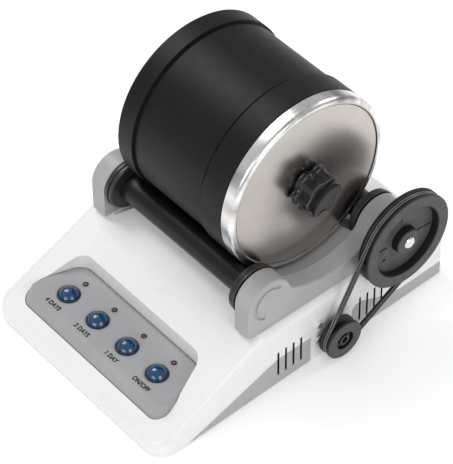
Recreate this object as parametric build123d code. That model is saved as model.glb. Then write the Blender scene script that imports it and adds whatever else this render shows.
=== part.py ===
from build123d import *
from math import asin, atan2, cos, degrees, hypot, radians, sin, sqrt
import os

# Rotary rock tumbler. Millimetres. X runs along the rollers (+X is the belt side), Y runs from the
# control panel at the front to the rear wall, Z is up. The shapes are laid out about the middle of
# the base. The exported frame has its origin on the table, under the middle of the overall width,
# pulleys included.

# ---- driving dimensions ----
ORIGIN_X = 7.0              # exported origin, from the middle of the base
BARREL_AXIS_Y = 28.4
BARREL_AXIS_Z = 148.7
TYRE_RADIUS = 74.7          # raised rubber bands that run on the rollers
JACKET_RADIUS = 72.7
BARREL_FAR_X = -66.5
LID_RIM_X = 65.1
LID_RADIUS = 74.7

ROLLER_RADIUS = 11.5
ROLLER_SPREAD = 60.2        # roller axis to barrel axis, along Y
CONTACT_GAP = 0.3
SHAFT_RADIUS = 5.0
RUNNING_CLEARANCE = 0.05
SLEEVE_HALF = 68.8
FLANGE_RADIUS = 21.1
FLANGE_WIDTH = 6.6

BRACKET_INNER_X = 77.0
BRACKET_OUTER_X = 93.0
HUMP_RADIUS = 20.5
SADDLE_RADIUS = 72.0

BASE_FRONT_HALF = 102.0
BASE_REAR_HALF = 95.5
BASE_HALF_DEPTH = 147.2
BASE_CORNER = 17.0          # plan radius of the two front corners
REAR_CORNER = 2.5           # plan radius of the two rear corners
BASE_BOTTOM = 1.0
WALL = 2.5
SHOULDER_Z = 60.5
SHOULDER_INNER_X = 73.5     # where the hood's side ramp comes down to the shoulder
RAMP_SLOPE = 1.35           # run of that ramp for each millimetre of height
DRAFT = 0.8
RIDGE_RADIUS = 6.0

PULLEY_FRONT_X = 113.8
PULLEY_WIDTH = 11.5
LARGE_PULLEY_RADIUS = 41.8
SMALL_PULLEY_RADIUS = 17.1
MOTOR_SHAFT_Y = 26.8
MOTOR_SHAFT_Z = 20.8
MOTOR_SHAFT_RADIUS = 3.0
GROOVE_DEPTH = 4.8
BELT_WIDTH = 4.0
BELT_THICKNESS = 3.7

PANEL_TOP = 30.3
PANEL_PLATE = 2.5
BUTTON_PITCH = 35.5
BUTTON_Y = -108.3
BUTTON_RADIUS = 8.8
BUTTON_WALL = 1.8           # upright part of a button above the panel
BUTTON_DOME = 4.2
LED_Y = -91.8
LED_RADIUS = 2.2
BOARD_TOP = 17.0
BOARD_THICKNESS = 1.6

# ---- values that follow from them ----
ROLLER_DISTANCE = TYRE_RADIUS + ROLLER_RADIUS + CONTACT_GAP
ROLLER_Z = BARREL_AXIS_Z - sqrt(ROLLER_DISTANCE**2 - ROLLER_SPREAD**2)
FRONT_ROLLER_Y = BARREL_AXIS_Y - ROLLER_SPREAD
REAR_ROLLER_Y = BARREL_AXIS_Y + ROLLER_SPREAD
PULLEY_BACK_X = PULLEY_FRONT_X - PULLEY_WIDTH
GROOVE_MIDDLE_X = PULLEY_FRONT_X - PULLEY_WIDTH / 2
PANEL_UNDERSIDE = PANEL_TOP - PANEL_PLATE
FLOOR_BOTTOM = 3.0
FLOOR_TOP = FLOOR_BOTTOM + WALL


# ---- small helpers ----
def box_between(x0, x1, y0, y1, z0, z1):
    """Box from one corner to the other."""
    centre = ((x0 + x1) / 2, (y0 + y1) / 2, (z0 + z1) / 2)
    return Pos(*centre) * Box(x1 - x0, y1 - y0, z1 - z0)


def rod_x(radius, x0, x1, y, z):
    """Cylinder along X."""
    return Pos((x0 + x1) / 2, y, z) * Rot(0, 90, 0) * Cylinder(radius, x1 - x0)


def rod_z(radius, x, y, z0, z1):
    """Cylinder along Z."""
    return Pos(x, y, (z0 + z1) / 2) * Cylinder(radius, z1 - z0)


def turned_x(points, y, z):
    """Turned part about an X axis, from (x, radius) points."""
    return Pos(0, y, z) * revolve(make_face(Polyline(*points, close=True)), Axis.X)


def prism_x(face_points, x0, x1):
    """Prism along X, from (y, z) points."""
    face = make_face(Plane.YZ * Polyline(*face_points, close=True))
    return Pos(x0, 0, 0) * extrude(face, x1 - x0, dir=(1, 0, 0))


def mirrored_x(shape):
    """The same shape on the other side of the base."""
    return mirror(shape, about=Plane.YZ)


def group(shapes):
    """Several separate solids as one part."""
    solids = []
    for shape in shapes:
        solids.extend(shape.solids())
    return Compound(solids)


# ---- base: one outer form, from which the top shell and the tray are both cut ----
SLOPE = 0.49                # rise of the front deck
SLOPE_Y = -100.0
SLOPE_Z = 34.3
CREST_Y = -13.0             # where the front deck meets the trough under the barrel
REAR_TOP_Z = 48.0


def deck_height(y):
    """Height of the middle of the front deck."""
    return SLOPE_Z + SLOPE * (y - SLOPE_Y)


def side_profile():
    """Outline of the base in Y and Z: front deck, trough under the barrel, rear deck."""
    crest = (CREST_Y, deck_height(CREST_Y))
    trough_radius = hypot(CREST_Y - BARREL_AXIS_Y, crest[1] - BARREL_AXIS_Z)
    trough = (BARREL_AXIS_Y, BARREL_AXIS_Z - trough_radius)
    rear_crest = (2 * BARREL_AXIS_Y - CREST_Y, crest[1])
    front_foot = (-BASE_HALF_DEPTH, BASE_BOTTOM)
    front_top = (-BASE_HALF_DEPTH, deck_height(-BASE_HALF_DEPTH))
    rear_top = (BASE_HALF_DEPTH, REAR_TOP_Z)
    rear_foot = (BASE_HALF_DEPTH, BASE_BOTTOM)
    lines = Polyline(rear_crest, rear_top, rear_foot, front_foot, front_top, crest)
    face = make_face(lines + ThreePointArc(crest, trough, rear_crest))
    face = fillet([face.vertices().sort_by_distance((*crest, 0))[0]], 4)
    return fillet([face.vertices().sort_by_distance((*rear_crest, 0))[0]], 4)


def side_strip_cutter(inset):
    """Half-space above the flank that falls away beside the front deck."""
    high_front = Vector(75.7, -100.0, deck_height(-100.0))
    high_rear = Vector(59.0, -20.0, deck_height(-20.0))
    low_rear = Vector(98.5, -45.0, 59.1)
    normal = (low_rear - high_front).cross(high_rear - high_front).normalized()
    start = high_front - normal * inset
    seat = (Align.CENTER, Align.CENTER, Align.MIN)
    return Plane(origin=start, z_dir=normal) * Box(400, 400, 90, align=seat)


def shoulder_cutter(inset):
    """Space above the level shoulder on which a bracket stands, and above the ramp up to the hood."""
    foot, shoulder, top = SHOULDER_INNER_X - inset, SHOULDER_Z - inset, 110
    slant = (top - SHOULDER_Z) * RAMP_SLOPE
    outline = Polyline((foot, shoulder), (130, shoulder), (130, top), (foot - slant, top), close=True)
    return Pos(0, 160, 0) * extrude(make_face(Plane.XZ * outline), 230, dir=(0, -1, 0))


def plan_half_width(y):
    """Half-width of the base at the table, which narrows towards the rear."""
    along = (y + BASE_HALF_DEPTH) / (2 * BASE_HALF_DEPTH)
    return BASE_FRONT_HALF + (BASE_REAR_HALF - BASE_FRONT_HALF) * along


def side_wall_x(y, z):
    """Outer face of the right side wall."""
    return plan_half_width(y) - (z - BASE_BOTTOM) * sin(radians(DRAFT))


def plan_outline(inset):
    """Outline of the base seen from above."""
    front, rear, depth = BASE_FRONT_HALF - inset, BASE_REAR_HALF - inset, BASE_HALF_DEPTH - inset
    corners = [(-front, -depth), (front, -depth), (rear, depth), (-rear, depth)]
    plan = make_face(Polyline(*corners, close=True))
    return fillet(plan.vertices().sort_by(Axis.Y)[:2], BASE_CORNER - inset)


def base_form(inset):
    """Solid inside the outer skin, moved inwards by the inset and open below if there is one."""
    profile = side_profile()
    start = BASE_BOTTOM
    if inset:
        start = BASE_BOTTOM - 5
        profile = offset(profile, -inset)
        profile += Pos(0, BASE_BOTTOM) * Rectangle(2 * (BASE_HALF_DEPTH - inset), 10)
    form = Pos(0, 0, start) * extrude(plan_outline(inset), 90, taper=DRAFT)
    form &= extrude(Plane.YZ * profile, 130, both=True)
    for cutter in (side_strip_cutter(inset), shoulder_cutter(inset)):
        form -= cutter
        form -= mirrored_x(cutter)
    return form


def on_ridge(point):
    """Whether a point lies on the upper outer edge of the base."""
    beside = plan_half_width(point.Y) - abs(point.X)
    at_corner = -point.Y > BASE_HALF_DEPTH - BASE_CORNER - 5 and beside < 19.5
    return beside < 3 or at_corner or abs(point.Y) > 142


def ridge_edges(form):
    """The closed loop of edges round the top of the side, front and rear walls."""
    found = []
    for edge in form.edges():
        start, middle, end = edge @ 0, edge @ 0.5, edge @ 1
        upright = abs(start.Z - end.Z) > 10 and hypot(start.X - end.X, start.Y - end.Y) < 3
        if middle.Z > 9 and not upright and all(on_ridge(point) for point in (start, middle, end)):
            found.append(edge)
    return found


def outer_form():
    """The outer form with its upper edge and its rear corners rounded."""
    form = base_form(0)
    form = form.fillet(RIDGE_RADIUS, ridge_edges(form))
    rear = [edge for edge in form.edges() if (edge @ 0.5).Y > BASE_HALF_DEPTH - 3]
    upright = [edge for edge in rear if abs((edge @ 0).Z - (edge @ 1).Z) > 20]
    return form.fillet(REAR_CORNER, upright)


def seam_region(side, with_motor_tab):
    """Space outside and below the seam between shell and tray, on one side of the base."""
    points = [(-119, -2), (-119, BASE_BOTTOM), (-28, 27.5), (5.5, 26.5)]
    if with_motor_tab:
        points += [(5.5, -2), (48.5, -2), (48.5, 25)]
    points += [(53, 29.5), (58, 29.5), (83, 18), (101, 13.5), (150, 13.5), (150, -2)]
    return prism_x(points, 0, 130) if side > 0 else prism_x(points, -130, 0)


VENT_PITCH = 7.8
VENT_WIDTH = 2.0
FRONT_VENTS_Y = -28.0
REAR_VENTS_Y = 57.0
VENTS_PER_GROUP = 4


def vents():
    """Slots through both side walls, in two groups a side."""
    slots = []
    for first in (FRONT_VENTS_Y, REAR_VENTS_Y):
        for index in range(VENTS_PER_GROUP):
            y = first + index * VENT_PITCH
            slot = box_between(90, 110, y - VENT_WIDTH / 2, y + VENT_WIDTH / 2, 8.8, 34)
            slots += [slot, mirrored_x(slot)]
    return slots


# ---- control panel ----
PANEL_REAR_Y = -79.5
PANEL_FRONT_Y = -127.5
PANEL_HALF = 80.3
PANEL_FLARE = 24.0
SKIRT_DEPTH = 16.0
PANEL_SEAM = 0.5            # gap between the panel and the shell
RECESS_DEPTH = 1.3          # the skirt's foot stands in a recess of this depth
OPENING = (-68.0, 68.0, -123.0, -84.0)
BOARD_SCREWS = [(-63.0, -118.0), (63.0, -118.0), (-63.0, -89.0), (63.0, -89.0)]


def panel_outline(grow):
    """Outline of the panel's flat top."""
    right = [(70.5, PANEL_REAR_Y), (PANEL_HALF, -112), (PANEL_HALF, PANEL_FRONT_Y)]
    left = [(-x, y) for x, y in reversed(right)]
    face = make_face(Polyline(*right, *left, close=True))
    corners = face.vertices().sort_by(Axis.Y)
    face = fillet(corners[0:2], 7)
    corners = face.vertices().sort_by(Axis.Y)
    face = fillet(corners[-2:], 13)
    middle = [v for v in face.vertices() if abs(v.Y + 112) < 0.1]
    face = fillet(middle, 22)
    return offset(face, grow) if grow else face


def button_places():
    """X positions of the four buttons."""
    return [(index - 1.5) * BUTTON_PITCH for index in range(4)]


def skirt_block(grow, top):
    """The panel's flared block, from a height downwards."""
    outline = panel_outline(grow)
    return Pos(0, 0, top) * extrude(outline, SKIRT_DEPTH, dir=(0, 0, -1), taper=-PANEL_FLARE)


def control_panel():
    """Grey podium: a flat plate whose flared skirt stands in a recess of the sloping deck."""
    panel = skirt_block(0, PANEL_TOP) - skirt_block(-2.2, PANEL_UNDERSIDE)
    panel -= base_form(RECESS_DEPTH - 0.3)
    panel += Pos(0, 0, PANEL_UNDERSIDE) * extrude(panel_outline(-0.15), PANEL_PLATE)
    for x, y in BOARD_SCREWS:
        panel += rod_z(3.0, x, y, BOARD_TOP, PANEL_UNDERSIDE + 0.5)
        panel -= rod_z(1.0, x, y, BOARD_TOP - 1, PANEL_UNDERSIDE - 2)
    for x in button_places():
        panel -= rod_z(BUTTON_RADIUS + 0.35, x, BUTTON_Y, PANEL_UNDERSIDE - 1, PANEL_TOP + 1)
        panel -= rod_z(LED_RADIUS + 0.1, x, LED_Y, PANEL_UNDERSIDE - 1, PANEL_TOP + 1)
    return panel


def push_button(x):
    """Domed cap with a retaining rim under the panel and a stem above its switch."""
    dome_sphere = (BUTTON_RADIUS**2 + BUTTON_DOME**2) / (2 * BUTTON_DOME)
    tip = PANEL_TOP + BUTTON_WALL + BUTTON_DOME
    cap = rod_z(BUTTON_RADIUS, x, BUTTON_Y, PANEL_UNDERSIDE - 2, tip)
    cap &= Pos(x, BUTTON_Y, tip - dome_sphere) * Sphere(dome_sphere)
    cap += rod_z(BUTTON_RADIUS + 1.5, x, BUTTON_Y, PANEL_UNDERSIDE - 2, PANEL_UNDERSIDE - 0.3)
    return cap + rod_z(2.0, x, BUTTON_Y, BOARD_TOP + 5.4, PANEL_UNDERSIDE - 1)


def tact_switches():
    """One switch on the board under each button."""
    switches = []
    for x in button_places():
        body = box_between(x - 3, x + 3, BUTTON_Y - 3, BUTTON_Y + 3, BOARD_TOP, BOARD_TOP + 3.2)
        switches.append(body + rod_z(1.7, x, BUTTON_Y, BOARD_TOP + 3, BOARD_TOP + 4))
    return group(switches)


def status_leds():
    """One round indicator behind each button, with its two legs."""
    lamps = []
    for x in button_places():
        top = PANEL_TOP + 0.9
        lamp = rod_z(LED_RADIUS, x, LED_Y, PANEL_UNDERSIDE - 3, top - LED_RADIUS)
        lamp += Pos(x, LED_Y, top - LED_RADIUS) * Sphere(LED_RADIUS)
        lamp += rod_z(LED_RADIUS + 0.6, x, LED_Y, PANEL_UNDERSIDE - 3, PANEL_UNDERSIDE - 2)
        for leg in (-1.27, 1.27):
            lamp += rod_z(0.3, x + leg, LED_Y, BOARD_TOP, PANEL_UNDERSIDE - 2.5)
        lamps.append(lamp)
    return group(lamps)


def control_board():
    """Circuit board that carries the switches and indicators."""
    board = box_between(-67, 67, -121.5, -85.5, BOARD_TOP - BOARD_THICKNESS, BOARD_TOP)
    for x, y in BOARD_SCREWS:
        board -= rod_z(1.3, x, y, 0, BOARD_TOP + 1)
    return board


def timer_chips():
    """Relay, timer chip and capacitor soldered on the board."""
    relay = box_between(-8, 8, -103, -91, BOARD_TOP, BOARD_TOP + 5.5)
    chip = box_between(-46, -36, -103, -97, BOARD_TOP, BOARD_TOP + 1.6)
    capacitor = rod_z(3.2, 36, -96, BOARD_TOP, BOARD_TOP + 7.5)
    return group([relay, chip, capacitor])


def screw_up(x, y, seat, length, radius, head_radius, head):
    """Screw driven upwards: the head hangs below the seat."""
    return rod_z(head_radius, x, y, seat - head, seat) + rod_z(radius, x, y, seat - 0.1, seat + length)


def board_screws():
    """Four screws from the board into the panel's posts."""
    seat = BOARD_TOP - BOARD_THICKNESS
    return group([screw_up(x, y, seat, 6.5, 1.0, 2.0, 1.4) for x, y in BOARD_SCREWS])


# ---- gear motor ----
GEARBOX_RADIUS = 18.5
GEARBOX_OFFSET = 7.0        # the output shaft sits off the gearbox axis
GEARBOX_FRONT_X = 94.3
GEARBOX_LENGTH = 26.0
MOTOR_RADIUS = 17.4
MOTOR_LENGTH = 52.0
MOTOR_SCREW_CIRCLE = 15.5
MOTOR_AXIS_Z = MOTOR_SHAFT_Z + GEARBOX_OFFSET
OUTPUT_BOSS_RADIUS = 6.0
OUTPUT_BOSS_END_X = 99.6


def motor_screw_places():
    """Y and Z of the screws that hold the gearbox to the side wall."""
    places = []
    for angle in (30, 150, 210, 330):
        y = MOTOR_SHAFT_Y + MOTOR_SCREW_CIRCLE * cos(radians(angle))
        places.append((y, MOTOR_AXIS_Z + MOTOR_SCREW_CIRCLE * sin(radians(angle))))
    return places


def gearbox():
    """Round gear case with a bushed boss for the output shaft."""
    rear = GEARBOX_FRONT_X - GEARBOX_LENGTH
    case = rod_x(GEARBOX_RADIUS, rear, GEARBOX_FRONT_X, MOTOR_SHAFT_Y, MOTOR_AXIS_Z)
    case += rod_x(OUTPUT_BOSS_RADIUS, GEARBOX_FRONT_X - 1, OUTPUT_BOSS_END_X, MOTOR_SHAFT_Y, MOTOR_SHAFT_Z)
    bore_radius = MOTOR_SHAFT_RADIUS + RUNNING_CLEARANCE
    case -= rod_x(bore_radius, GEARBOX_FRONT_X - 22, OUTPUT_BOSS_END_X + 1, MOTOR_SHAFT_Y, MOTOR_SHAFT_Z)
    for y, z in motor_screw_places():
        case -= rod_x(1.5, GEARBOX_FRONT_X - 7, GEARBOX_FRONT_X + 1, y, z)
    return case


def motor():
    """Motor can with its rear bearing cap and two terminals."""
    rear = GEARBOX_FRONT_X - GEARBOX_LENGTH
    can = rod_x(MOTOR_RADIUS, rear - MOTOR_LENGTH, rear, MOTOR_SHAFT_Y, MOTOR_AXIS_Z)
    can += rod_x(5, rear - MOTOR_LENGTH - 3, rear - MOTOR_LENGTH + 1, MOTOR_SHAFT_Y, MOTOR_AXIS_Z)
    for side in (-11, 11):
        y = MOTOR_SHAFT_Y + side
        end = rear - MOTOR_LENGTH
        can += box_between(end - 6, end + 1, y - 1.4, y + 1.4, MOTOR_AXIS_Z - 0.4, MOTOR_AXIS_Z + 0.4)
    return can


def motor_screws():
    """Pan-head screws through the side wall into the gearbox."""
    screws = []
    for y, z in motor_screw_places():
        seat = side_wall_x(y, z) + 0.1
        screw = rod_x(1.5, GEARBOX_FRONT_X - 6, seat + 0.1, y, z) + rod_x(2.8, seat, seat + 2.1, y, z)
        screws.append(screw - box_between(seat + 1.3, seat + 3, y - 2.2, y + 2.2, z - 0.35, z + 0.35))
    return group(screws)


# ---- top shell and tray ----
TRAY_SCREWS = [(-85.0, -64.0), (85.0, -64.0), (-83.0, 96.0), (83.0, 96.0)]
FEET = [(-76.0, -118.0), (76.0, -118.0), (-74.0, 122.0), (74.0, 122.0)]
BRACKET_SCREW_X = 85.0
BRACKET_SCREW_Y = [FRONT_ROLLER_Y + 6, 4.0, 52.8, REAR_ROLLER_Y - 6]
INLET_X = -58.0
INLET_Z = 26.0
INLET_RADIUS = 5.6


def top_shell(form, cavity):
    """White upper housing."""
    shell = form - cavity
    pocket_walls = Pos(0, 0, PANEL_UNDERSIDE) * extrude(panel_outline(WALL), 30) & form
    shell += pocket_walls
    for x, y in TRAY_SCREWS:
        shell += rod_z(4.5, x, y, FLOOR_TOP, 100) & form
    shell -= Pos(0, 0, PANEL_UNDERSIDE) * extrude(panel_outline(PANEL_SEAM), 40)
    shell -= skirt_block(PANEL_SEAM, PANEL_TOP) - base_form(RECESS_DEPTH)
    x0, x1, y0, y1 = OPENING
    shell -= box_between(x0, x1, y0, y1, FLOOR_TOP, 60)
    shell -= seam_region(1, True) + seam_region(-1, False)
    for slot in vents():
        shell -= slot
    shell -= rod_x(OUTPUT_BOSS_RADIUS + 0.3, 90, 110, MOTOR_SHAFT_Y, MOTOR_SHAFT_Z)
    for y, z in motor_screw_places():
        shell -= rod_x(1.7, 90, 110, y, z)
    for x, y in TRAY_SCREWS:
        shell -= rod_z(1.5, x, y, 0, 20)
    for y in BRACKET_SCREW_Y:
        for x in (-BRACKET_SCREW_X, BRACKET_SCREW_X):
            shell -= rod_z(1.7, x, y, SHOULDER_Z - 5, SHOULDER_Z + 5)
    return shell - Pos(INLET_X, BASE_HALF_DEPTH, INLET_Z) * Rot(90, 0, 0) * Cylinder(INLET_RADIUS, 12)


def bottom_tray(form, cavity):
    """Grey lower tray: a floor whose side walls rise in a wedge outside the shell's edge."""
    seam = seam_region(1, True) + seam_region(-1, False)
    tray = (form - cavity) & seam
    tray += cavity & box_between(-110, 110, -150, 150, FLOOR_BOTTOM, FLOOR_TOP)
    for slot in vents():
        tray -= slot
    for x, y in TRAY_SCREWS:
        tray -= rod_z(1.7, x, y, 0, 10)
    return tray


def tray_screws():
    """Four screws from below into the shell's posts."""
    return group([screw_up(x, y, FLOOR_BOTTOM, 13, 1.5, 2.8, 2.0) for x, y in TRAY_SCREWS])


def rubber_feet():
    """Four stick-on feet; they stand on the table."""
    feet = []
    for x, y in FEET:
        foot = rod_z(8.0, x, y, 0, FLOOR_BOTTOM)
        feet.append(chamfer(foot.edges().group_by(Axis.Z)[0], 0.8))
    return group(feet)


def power_inlet():
    """Round low-voltage socket in the rear wall: a flanged tube with a centre pin."""
    place = Pos(INLET_X, BASE_HALF_DEPTH, INLET_Z) * Rot(90, 0, 0)
    body = Pos(0, 0, 4.2) * Cylinder(INLET_RADIUS - 0.1, 13) + Pos(0, 0, -1.0) * Cylinder(7.2, 2.0)
    body -= Pos(0, 0, 2.0) * Cylinder(2.85, 9)
    return place * (body + Pos(0, 0, 2.5) * Cylinder(0.9, 9))


def inlet_nut():
    """Hexagonal nut that clamps the socket from inside."""
    nut = extrude(RegularPolygon(8.0, 6) - Circle(INLET_RADIUS - 0.1), 3)
    return Pos(INLET_X, BASE_HALF_DEPTH - WALL - 0.9, INLET_Z) * Rot(90, 0, 0) * nut


# ---- roller brackets ----
SHELF_INNER_X = 58.0
SHELF_FRONT_Y = -9.0
BUSH_RADIUS = 8.0
BLIND_END_X = 89.0
VALLEY_RADIUS = 13.0        # blend between a hump and the saddle
BOSS_GROOVE = (12.7, 15.3)  # inner and outer radius of the groove round a boss
FOOT_UNDERCUT = 0.6


def bracket_profile():
    """Side view of a bracket: two humps over the roller ends and a saddle between them."""
    front = FRONT_ROLLER_Y - HUMP_RADIUS
    rear = REAR_ROLLER_Y + HUMP_RADIUS
    middle = BARREL_AXIS_Y
    low = Pos(middle, (SHOULDER_Z + ROLLER_Z) / 2) * Rectangle(rear - front, ROLLER_Z - SHOULDER_Z)
    tall = Pos(middle, SHOULDER_Z + 14.2) * Rectangle(2 * ROLLER_SPREAD, 28.4)
    outline = low + tall - Pos(middle, BARREL_AXIS_Z) * Circle(SADDLE_RADIUS)
    for y in (FRONT_ROLLER_Y, REAR_ROLLER_Y):
        outline += Pos(y, ROLLER_Z) * Circle(HUMP_RADIUS)
    inner = [v for v in outline.vertices() if abs(v.Y - 88.9) < 1.2 and abs(v.X - middle) < 42]
    return fillet(inner, VALLEY_RADIUS)


def sector(start, end, reach):
    """Pie slice of a plane between two angles."""
    spots = [start + (end - start) * step / 2 for step in range(3)]
    rim = [(reach * cos(radians(angle)), reach * sin(radians(angle))) for angle in spots]
    return make_face(Polyline((0, 0), *rim, close=True))


def boss_groove(y):
    """Groove round the upper front of a boss on the outer face."""
    inner, outer = BOSS_GROOVE
    ring = (Circle(outer) - Circle(inner)) & sector(45, 250, 4 * outer)
    ring = fillet(ring.vertices(), 0.6)
    face = Plane.YZ * (Pos(y, ROLLER_Z) * ring)
    return Pos(BRACKET_OUTER_X - 0.9, 0, 0) * extrude(face, 2, dir=(1, 0, 0))


def bracket(form, rear_bore_end):
    """Right-hand bracket: bores for the bushes, a boss ring and a shelf that reaches under the barrel."""
    width = BRACKET_OUTER_X - BRACKET_INNER_X
    body = Pos(BRACKET_INNER_X, 0, 0) * extrude(Plane.YZ * bracket_profile(), width, dir=(1, 0, 0))
    outer_face = body.faces().sort_by(Axis.X)[-1]
    body = fillet([e for e in outer_face.edges() if (e @ 0.5).Z > SHOULDER_Z + 2], 1.6)
    for y in (FRONT_ROLLER_Y, REAR_ROLLER_Y):
        body -= boss_groove(y)
    outer_foot = BRACKET_OUTER_X - FOOT_UNDERCUT
    body -= box_between(outer_foot, 100, -60, 120, SHOULDER_Z - 1, SHOULDER_Z + FOOT_UNDERCUT)
    body -= box_between(BRACKET_INNER_X + 3, BRACKET_OUTER_X - 3, 10, 46, SHOULDER_Z - 1, SHOULDER_Z + 9)
    root_x = BRACKET_INNER_X + 0.5
    shelf_section = [(SHELF_INNER_X, 79), (root_x, 74), (root_x, 100), (SHELF_INNER_X, 100)]
    shelf = turned_x(shelf_section, BARREL_AXIS_Y, BARREL_AXIS_Z)
    shelf_rear = 2 * BARREL_AXIS_Y - SHELF_FRONT_Y
    shelf &= box_between(SHELF_INNER_X, root_x, SHELF_FRONT_Y, shelf_rear, SHOULDER_Z, 90)
    body += shelf - form
    body -= rod_x(BUSH_RADIUS, BRACKET_INNER_X - 1, BLIND_END_X, FRONT_ROLLER_Y, ROLLER_Z)
    body -= rod_x(BUSH_RADIUS, BRACKET_INNER_X - 1, rear_bore_end, REAR_ROLLER_Y, ROLLER_Z)
    for y in BRACKET_SCREW_Y:
        body -= rod_z(1.5, BRACKET_SCREW_X, y, SHOULDER_Z - 1, SHOULDER_Z + 8.5)
    return body


def bracket_screws():
    """Eight screws from inside the shell into the brackets."""
    seat = SHOULDER_Z - WALL
    screws = []
    for y in BRACKET_SCREW_Y:
        for x in (-BRACKET_SCREW_X, BRACKET_SCREW_X):
            screws.append(screw_up(x, y, seat, 10, 1.5, 2.8, 2.0))
    return group(screws)


def bush(y, end_x):
    """Plain bush for one shaft end, on the right-hand side."""
    ring = rod_x(BUSH_RADIUS, BRACKET_INNER_X - 0.6, end_x, y, ROLLER_Z)
    return ring - rod_x(SHAFT_RADIUS + RUNNING_CLEARANCE, BRACKET_INNER_X - 2, end_x + 1, y, ROLLER_Z)


# ---- rollers ----
SHAFT_END_X = 88.6
REAR_SHAFT_TIP_X = 115.6


def roller_shaft(y, tip_x):
    """Steel shaft, chamfered at both ends."""
    shaft = rod_x(SHAFT_RADIUS, -SHAFT_END_X, tip_x, y, ROLLER_Z)
    return chamfer(shaft.edges().filter_by(GeomType.CIRCLE), 0.8)


def roller_sleeve(y):
    """Rubber sleeve between the flanges."""
    return rod_x(ROLLER_RADIUS, -SLEEVE_HALF, SLEEVE_HALF, y, ROLLER_Z) - rod_x(
        SHAFT_RADIUS, -SLEEVE_HALF - 1, SLEEVE_HALF + 1, y, ROLLER_Z
    )


def roller_flange(y):
    """Two-step guide disc on the right-hand end of a roller."""
    inner = SLEEVE_HALF
    outer = SLEEVE_HALF + FLANGE_WIDTH
    groove = inner + 0.55 * FLANGE_WIDTH
    rim = FLANGE_RADIUS
    profile = [
        (inner, SHAFT_RADIUS),
        (inner, rim - 1.6),
        (inner + 0.9, rim - 0.7),
        (groove - 0.5, rim - 0.7),
        (groove - 0.5, rim - 1.7),
        (groove + 0.4, rim - 1.7),
        (groove + 0.4, rim),
        (outer - 0.6, rim),
        (outer, rim - 0.6),
        (outer, SHAFT_RADIUS),
    ]
    return turned_x(profile, y, ROLLER_Z)


# ---- belt drive ----
LARGE_GROOVE_RADIUS = LARGE_PULLEY_RADIUS - GROOVE_DEPTH
SMALL_GROOVE_RADIUS = SMALL_PULLEY_RADIUS - GROOVE_DEPTH
LARGE_BELT_RADIUS = LARGE_GROOVE_RADIUS + CONTACT_GAP
SMALL_BELT_RADIUS = SMALL_GROOVE_RADIUS + CONTACT_GAP
RIM_INNER_RADIUS = 31.6
HUB_RADIUS = 11.0
WEB_FRONT_X = PULLEY_FRONT_X - 6.6
WEB_THICKNESS = 3.2
PAD_HEIGHT = 0.7
PAD_RADII = (15.5, 29.8)
PAD_ANGLES = [(50, 97), (180, 235), (324, 355)]
DIMPLES = [(68, 27.0), (210, 22.5)]     # angle and distance from the axis


def groove_points(radius):
    """Rim outline of a pulley, from its front face to its back face."""
    middle = GROOVE_MIDDLE_X
    bottom = radius - GROOVE_DEPTH
    return [
        (PULLEY_FRONT_X, radius - 0.7),
        (PULLEY_FRONT_X - 0.7, radius),
        (middle + 2.9, radius),
        (middle + 2.35, bottom),
        (middle - 2.35, bottom),
        (middle - 2.9, radius),
        (PULLEY_BACK_X + 0.7, radius),
        (PULLEY_BACK_X, radius - 0.7),
    ]


def web_pads():
    """Raised pads on the web of the large pulley, seen from the front."""
    inner, outer = PAD_RADII
    ring = Circle(outer) - Circle(inner)
    pads = [fillet((ring & sector(start, end, 2 * outer)).vertices(), 2) for start, end in PAD_ANGLES]
    base = Pos(WEB_FRONT_X - 0.5, REAR_ROLLER_Y, ROLLER_Z)
    return [base * extrude(Plane.YZ * pad, PAD_HEIGHT + 0.5, dir=(1, 0, 0)) for pad in pads]


def large_pulley():
    """Driven pulley: grooved rim, thin web with raised pads and dimples, and a hub."""
    profile = [
        (100.3, SHAFT_RADIUS),
        (PULLEY_FRONT_X, SHAFT_RADIUS),
        (PULLEY_FRONT_X, HUB_RADIUS - 0.8),
        (PULLEY_FRONT_X - 0.8, HUB_RADIUS),
        (WEB_FRONT_X, HUB_RADIUS + 0.5),
        (WEB_FRONT_X, RIM_INNER_RADIUS - 0.8),
        (PULLEY_FRONT_X - 0.6, RIM_INNER_RADIUS),
        (PULLEY_FRONT_X, RIM_INNER_RADIUS + 0.6),
        *groove_points(LARGE_PULLEY_RADIUS),
        (PULLEY_BACK_X, RIM_INNER_RADIUS),
        (WEB_FRONT_X - WEB_THICKNESS, RIM_INNER_RADIUS - 0.8),
        (WEB_FRONT_X - WEB_THICKNESS, HUB_RADIUS),
        (100.3, HUB_RADIUS),
    ]
    pulley = turned_x(profile, REAR_ROLLER_Y, ROLLER_Z)
    for pad in web_pads():
        pulley += pad
    for angle, distance in DIMPLES:
        y = REAR_ROLLER_Y + distance * cos(radians(angle))
        z = ROLLER_Z + distance * sin(radians(angle))
        pulley -= rod_x(1.3, WEB_FRONT_X - 0.6, WEB_FRONT_X + 2, y, z)
    set_hole = Pos(101.8, REAR_ROLLER_Y, ROLLER_Z + 8) * Cylinder(1.0, 8)
    return pulley - set_hole


def pulley_set_screw():
    """Grub screw through the large pulley's hub onto the shaft."""
    return Pos(101.8, REAR_ROLLER_Y, ROLLER_Z + (SHAFT_RADIUS + HUB_RADIUS) / 2) * Cylinder(1.0, 5.9)


def small_pulley():
    """Motor pulley with a ring-shaped recess round its hub."""
    bore = MOTOR_SHAFT_RADIUS
    profile = [
        (PULLEY_BACK_X, bore),
        (PULLEY_FRONT_X - 0.5, bore),
        (PULLEY_FRONT_X - 0.5, 4.6),
        (PULLEY_FRONT_X - 3.4, 4.9),
        (PULLEY_FRONT_X - 3.4, 8.0),
        (PULLEY_FRONT_X, 8.3),
        *groove_points(SMALL_PULLEY_RADIUS),
    ]
    return turned_x(profile, MOTOR_SHAFT_Y, MOTOR_SHAFT_Z)


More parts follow.
